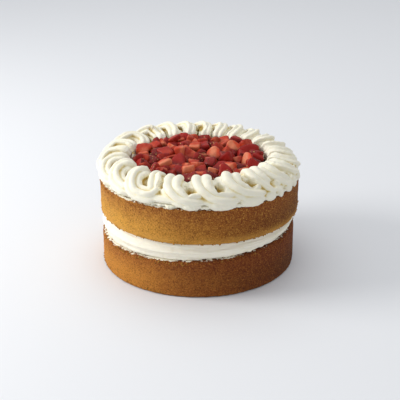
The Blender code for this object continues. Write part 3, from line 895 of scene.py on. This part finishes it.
# the pieces that stand out: x, y, height above the cream, fruit's radius, length, half the
# wedge's angle, which way the cut side faces, which way the length runs, how orange
largePieces = (
    (49, -9, 10.4, 9.5, 23, 76, (-0.75, -0.5, 0.4), (0.08, 0.7, 0.65), 0.95),
    (18, 50, 9.5, 7.5, 17, 70, (0.1, -0.9, 0.3), (0.05, 0.2, 1.0), 0.62),
    (16, 13, 10, 8.5, 18, 76, (-0.3, -0.8, 0.6), (0.1, 0.8, 0.6), 0.9),
    (35, 31, 11, 8, 15, 78, (0, -0.8, 0.6), (-0.5, 0.6, 0.6), 0.9),
    (-9, -37, 11, 14, 13, 45, (0.1, -0.5, 0.85), (1, 0.1, 0.1), 0.9),
    (-33, -23, 11, 14, 15, 42, (0.2, -0.6, 0.8), (0.8, 0.6, 0.2), 0.85),
    (29, -29, 10.5, 13, 15, 45, (-0.3, -0.6, 0.7), (0.7, -0.6, 0.2), 0.8),
    (5, 46, 10, 13, 11, 45, (0, -0.3, 0.95), (1, 0.3, 0), 0.35),
    (-54, 7, 10, 13, 12, 42, (0.1, -0.6, 0.8), (1, 0, 0.2), 0.6),
    (-18, 10, 12, 12, 14, 45, (0.8, -0.6, 0.3), (0, 0.3, 1), 0.7),
    (-4, 27, 11, 12, 12, 45, (-0.2, -0.8, 0.5), (1, 0, 0), 0.75),
    (-8, 52, 11, 13, 11, 42, (-0.6, -0.6, 0.4), (0.3, 0.2, 0.9), 0.45),
    (4, 8, 8, 12, 9, 35, (0, -0.5, 0.9), (1, 0.2, 0), 1.0),
    (11, -14, 11, 10.5, 14, 52, (0.2, 0.3, -0.9), (1, -0.2, 0.1), 0.4),
    (27, 9, 9, 11, 13, 48, (0, 0.5, -0.8), (0.8, 0.5, 0), 0.2),
    (3, -46, 9, 13, 14, 42, (-0.3, -0.5, 0.8), (0.9, -0.3, 0.1), 0.6),
    (14, -37, 10, 11, 11, 33, (0.3, -0.5, 0.8), (1, -0.4, 0), 0.95),
    (-13, -56, 8, 11, 16, 55, (0, 0.6, -0.7), (1, 0, 0), 0.3),
    (-25, -39, 7, 12, 12, 45, (0.2, -0.6, 0.7), (0.3, 1, 0.2), 0.3),
    (-27, 1, 8.5, 12, 12, 42, (0, -0.6, 0.8), (0.9, 0.5, 0), 0.45),
    (-40, 16, 11, 10.5, 15, 52, (0.5, 0.4, -0.7), (0.8, 0.3, 0.3), 0.15),
    (-53, 26, 9.5, 11, 11, 40, (0.3, -0.6, 0.6), (0.2, 0.2, 1), 0.85),
    (-38, 38, 10, 12, 12, 42, (0.4, -0.6, 0.6), (0.7, 0.2, 0.5), 0.7),
    (-27, 30, 9.5, 10, 9, 38, (0.5, -0.7, 0.5), (0.2, 0.5, 0.8), 0.95),
    (-1, -22, 10, 12, 13, 40, (-0.2, -0.5, 0.8), (0.6, -0.6, 0.2), 0.6),
    (42, 44, 8.5, 12, 13, 45, (0.1, 0.4, -0.8), (1, -0.4, 0), 0.3),
    (58, 20, 10, 7.5, 16, 32, (-0.5, -0.4, 0.5), (0.7, 0.4, 0.55), 0.1),
    (57, -12, 8, 12, 15, 45, (-0.3, 0.4, -0.7), (0.9, 0.2, -0.1), 0.15),
    (-60, -4, 8, 9, 12, 40, (0.2, 0.5, -0.7), (0.5, -0.8, 0.1), 0.1),
    (-46, -9, 9, 12, 14, 48, (0, 0.5, -0.8), (0.8, -0.5, 0), 0.35),
    (42, -34, 8, 12, 12, 45, (-0.4, -0.5, 0.6), (0.8, 0.4, 0.1), 0.65),
    (-18, 54, 9, 12, 10, 42, (0.2, -0.6, 0.7), (1, 0.2, 0.1), 0.55),
    (28, 42, 9, 12, 11, 45, (-0.1, -0.6, 0.7), (0.6, 0.6, 0.2), 0.5),
    (14, -51, 8, 12, 13, 45, (0.2, 0.4, -0.8), (0.9, 0.2, 0), 0.25),
)
berryLook = {
    "skin": (0.38, 0.014, 0.008),
    "skinDark": (0.12, 0.004, 0.003),
    "flesh": (0.31, 0.010, 0.006),
    "fleshPale": (0.64, 0.076, 0.023),
    "core": (0.70, 0.30, 0.16),
    "seed": (0.60, 0.30, 0.10),
    "shade": (0.045, 0.002, 0.002),
    "roughness": 0.42,
    "specular": 0.22,
    "scatter": 0.08,
    "scatterColor": (1.0, 0.25, 0.12),
    "scatterReach": 2.5 * mm,
    "depth": 0.5 * mm,     # of the bump
    "lowShade": (0.1062, 0.0975),      # painted shade: from this height down they darken, most at the second
}


# a piece cut from a strawberry: its points about its middle, and for each point how much
# it is skin, how far it lies from the fruit's axis, and its place in the fruit
def cutBerry(ball, rng, fruit, length, half):
    half = math.radians(half)
    long = fruit * 1.45
    # a long piece keeps the fruit's tip
    where = (0.35 if length > 1.6 * fruit else rng.uniform(-0.45, 0.45)) * long
    middle = np.array([0.52 * fruit, 0.0, where])
    planes = []
    for way in (-1, 1):
        planes.append(((-math.sin(half), way * math.cos(half), 0.0), math.sin(half) * middle[0] + 0.3))
    for way in (-1, 1):
        slant = (rng.uniform(-0.3, 0.3), rng.uniform(-0.25, 0.25), float(way))
        planes.append((np.array(slant) / np.linalg.norm(slant), length / 2))
    power = berries["edgePower"]
    total = np.zeros(len(ball))
    for normal, distance in planes:
        total += (np.maximum(ball @ np.array(normal), 0) / distance) ** power
    scale = np.array([fruit, fruit, long])
    b, c = ball / scale, middle / scale
    bb, bc, cc = (b * b).sum(1), (b * c).sum(1), (c * c).sum() - 1
    reachSkin = (-bc + np.sqrt(bc * bc - bb * cc)) / bb
    skinPart = (1 / reachSkin) ** power
    total += skinPart
    points = ball * (total ** (-1 / power))[:, None]
    spot = points + middle
    fromAxis = radii(spot) / fruit
    points += 0.5 * np.stack([crumbly(spot + where, 5.0, 51 + k) for k in range(3)], axis=1)
    return points, skinPart / total, fromAxis, spot


# turns a piece so that its cut side faces one way and its length runs another
def faceTurn(facing, along):
    up = Vector(along).normalized()
    out = -Vector(facing)
    out = (out - up * out.dot(up)).normalized()
    return Matrix((out, up.cross(out), up)).transposed()


def nearestLarge(x, y):
    return min(math.hypot(x - piece[0], y - piece[1]) for piece in largePieces)


# a small piece's turn, how orange it is, and its fruit's radius, length and wedge
def drawBerry(rng, tilt, orange):
    turn = Euler((rng.uniform(0, 6.3), rng.uniform(-tilt, tilt), rng.uniform(0, 6.3))).to_matrix()
    shape = [rng.uniform(*berries[name]) for name in ("fruit", "length", "wedge")]
    return turn, rng.uniform(0.05, orange), shape


def makeBerries():
    rng = random.Random(berries["seed"])
    ball, ballFaces = unitBall(4)
    ring, base, stray = berries["ring"], berries["base"], berries["stray"]
    skins = []
    fields = {"skinShare": [], "fromAxis": [], "tone": [], "fruitSpot": []}

    def keep(place, turn, tone, shape):
        points, skin, axis, spot = cutBerry(ball, rng, *shape)
        points = points @ np.array(turn).T + place
        far = radii(points)
        points[:, :2] *= np.minimum(1, ring / far)[:, None]
        points[:, 2] = np.clip(points[:, 2], base + 0.5, berries["top"])
        skins.append((points, ballFaces))
        spot = (spot + rng.uniform(-50, 50)) * mm
        for name, values in zip(fields, (skin, axis, np.full(len(points), tone), spot)):
            fields[name].append(values)

    for index, (x, y, height, fruit, length, half, facing, along, tone) in enumerate(largePieces):
        less = 1 if index < berries["whole"] else berries["shrink"]
        keep((x, y, base + height), faceTurn(facing, along), tone, (fruit * less, length * less, half))

    rowStep = berries["spacing"] * math.sqrt(3) / 2
    rows = int(ring / rowStep) + 1
    for row, column in itertools.product(range(-rows, rows + 1), repeat=2):
        x = (column + 0.5 * (row % 2)) * berries["spacing"] + rng.uniform(-stray, stray)
        y = row * rowStep + rng.uniform(-stray, stray)
        lift = berries["coreHeight"] + rng.uniform(*berries["lift"])
        drawn = drawBerry(rng, 0.8, 0.8)
        out = math.hypot(x, y) / ring
        lift += 2.0 * max(0, out - 0.7) / 0.3
        if out < berries["inner"] and nearestLarge(x, y) > berries["clearance"]:
            keep((x, y, base + lift), *drawn)

    number = berries["wallPieces"]
    for step in range(number):
        around = 2 * math.pi * (step + rng.uniform(-0.25, 0.25)) / number
        reach = rng.uniform(*berries["wallReach"])
        x, y = reach * math.cos(around), reach * math.sin(around)
        drawn = drawBerry(rng, 0.6, 0.7)
        if nearestLarge(x, y) > berries["wallClearance"]:
            keep((x, y, base + rng.uniform(*berries["wallLift"])), *drawn)

    points, faces = joined(skins)
    piece = addPiece("cutStrawberries", points * mm, faces, "strawberries", berryFinish())
    for name, values in fields.items():
        addAttribute(piece, name, np.concatenate(values))


def berryFinish():
    look = berryLook
    finish = Finish("cut strawberry")
    skin, axis, tone = (finish.attribute(name) for name in ("skinShare", "fromAxis", "tone"))
    spot = finish.attribute("fruitSpot", "Vector")
    mottle = finish.noise(spot, 260.0, 3.0)
    fibres = finish.noise(spot, 900.0)
    seeds = finish.node("TexVoronoi", {"feature": "F1"}, {"Vector": spot, "Scale": 330.0})
    isSkin = skin.between(0.35, 0.6)
    skinTone = finish.mix(look["skinDark"], look["skin"], tone * 0.9 + mottle * 0.5 - 0.2)
    skinTone = finish.mix(skinTone, look["shade"], seeds.between(0.5, 0.3) * 0.5)
    skinTone = finish.mix(skinTone, look["seed"], seeds.between(0.26, 0.18) * 0.8)
    share = (tone * 1.2 - axis * 0.35 + mottle * 0.9 + fibres * 0.3 - 0.65).between(0.0, 1.0)
    flesh = finish.mix(look["flesh"], look["fleshPale"], share)
    core = (0.5 - axis + fibres * 0.25).between(0.05, 0.4) * tone.between(0.3, 1.0)
    flesh = finish.mix(flesh, look["core"], core * 0.6)
    color = finish.mix(flesh, skinTone, isSkin)
    # painted shade: the pieces low in the heap, down between the others, are darkened
    height = finish.node("SeparateXYZ", {}, [finish.place()], "Z")
    color = finish.mix(color, look["shade"], height.between(*look["lowShade"]) * 0.92)
    relief = mottle + fibres * 0.5 + seeds * isSkin
    return finish.set(Base_Color=color, Roughness=look["roughness"], Specular_IOR_Level=look["specular"],
                      Subsurface_Weight=look["scatter"], Subsurface_Radius=look["scatterColor"],
                      Subsurface_Scale=look["scatterReach"], Normal=finish.bump(relief, look["depth"], 0.5))


heapCore = {
    # its outline: radius, height
    "outline": ((0.4, 92.0), (64, 92.0), (64.6, 93.0), (64.4, 96.0), (60.0, 97.6), (0.4, 98.0)),
    "step": 1.2,
    "around": 240,
    "lumps": (0.8, 6, 61),    # how far out, how large, and their seed
    "dark": (0.05, 0.002, 0.002),
    "lit": (0.12, 0.006, 0.004),
    "roughness": 0.6,
    "specular": 0.1,
}


# a dark mound under the pieces: juicy fruit, and painted shade where it shows in the gaps between them
def makeJuiceAndShade():
    look, (reach, lump, seed) = heapCore, heapCore["lumps"]
    points, ways, faces = turnedSkin(look["outline"], look["step"], look["around"])
    points += ways * (reach * crumbly(points, lump, seed) * ramp(points[:, 2], 93, 97))[:, None]
    points, faces = closeEnds(points, faces, look["around"])
    finish = Finish("strawberry juice")
    wet = finish.noise(finish.place(), 200.0)
    finish.set(Base_Color=finish.mix(look["dark"], look["lit"], wet), Roughness=look["roughness"],
               Specular_IOR_Level=look["specular"])
    addPiece("heapCore", points * mm, faces, "strawberries", finish.material)


makeBerries()
makeJuiceAndShade()
print("strawberries cut")


# camera, floor and light
studio = {
    "camera": (1.8 * mm, -772.3 * mm, 382.4 * mm),
    "pitch": 22.8,            # how far below level it looks, in degrees
    "sensor": 36,
    "lens": 74.97,
    "floor": (0.80, 0.822, 0.855),
    "floorRoughness": 0.7,
    "floorHeight": -0.0003,
    "floorReach": 6,
    "sky": (0.98, 0.985, 1.0, 1.0),
    "skyStrength": 0.60,
    # each light's place, where it points, size, power and color
    "lights": {
        "window": ((-1.2, -0.05, 0.65), (0, 0, 0.06), 0.7, 12.0, (1.0, 0.975, 0.94)),
        "ceiling": ((-0.3, 0.7, 2.2), (0, 0.6, 0), 2.6, 14.0, (1, 1, 1)),
    },
}


def addLight(name, place, target, size, power, color):
    light = bpy.data.objects.new(name, bpy.data.lights.new(name, "AREA"))
    light.data.shape = "DISK"
    light.data.size = size
    light.data.energy = power
    light.data.color = color
    light.location = place
    light.rotation_euler = (Vector(target) - Vector(place)).to_track_quat("-Z", "Y").to_euler()
    bpy.context.scene.collection.objects.link(light)


def makeStudio():
    scene = bpy.context.scene
    camera = bpy.data.objects.new("camera", bpy.data.cameras.new("camera"))
    camera.location = studio["camera"]
    camera.rotation_euler = (math.radians(90 - studio["pitch"]), 0, 0)
    camera.data.sensor_width = studio["sensor"]
    camera.data.lens = studio["lens"]
    scene.collection.objects.link(camera)
    scene.camera = camera

    mesh = bpy.data.meshes.new("floor")
    reach, height = studio["floorReach"], studio["floorHeight"]
    corners = [(x * reach, y * reach, height) for x, y in ((-1, -1), (1, -1), (1, 1), (-1, 1))]
    mesh.from_pydata(corners, [], [(0, 1, 2, 3)])
    floor = bpy.data.objects.new("floor", mesh)
    scene.collection.objects.link(floor)
    finish = Finish("pale floor")
    mesh.materials.append(finish.set(Base_Color=studio["floor"], Roughness=studio["floorRoughness"]))
    floor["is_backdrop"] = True

    world = bpy.data.worlds.new("studio")
    world.use_nodes = True
    sky = world.node_tree.nodes["Background"]
    sky.inputs["Color"].default_value = studio["sky"]
    sky.inputs["Strength"].default_value = studio["skyStrength"]
    scene.world = world
    for name, light in studio["lights"].items():
        addLight(name, *light)
    scene.view_settings.view_transform = "Standard"


makeStudio()
print("studio lit")

[[list(corner) for corner in box] for box in (cadBox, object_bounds())]
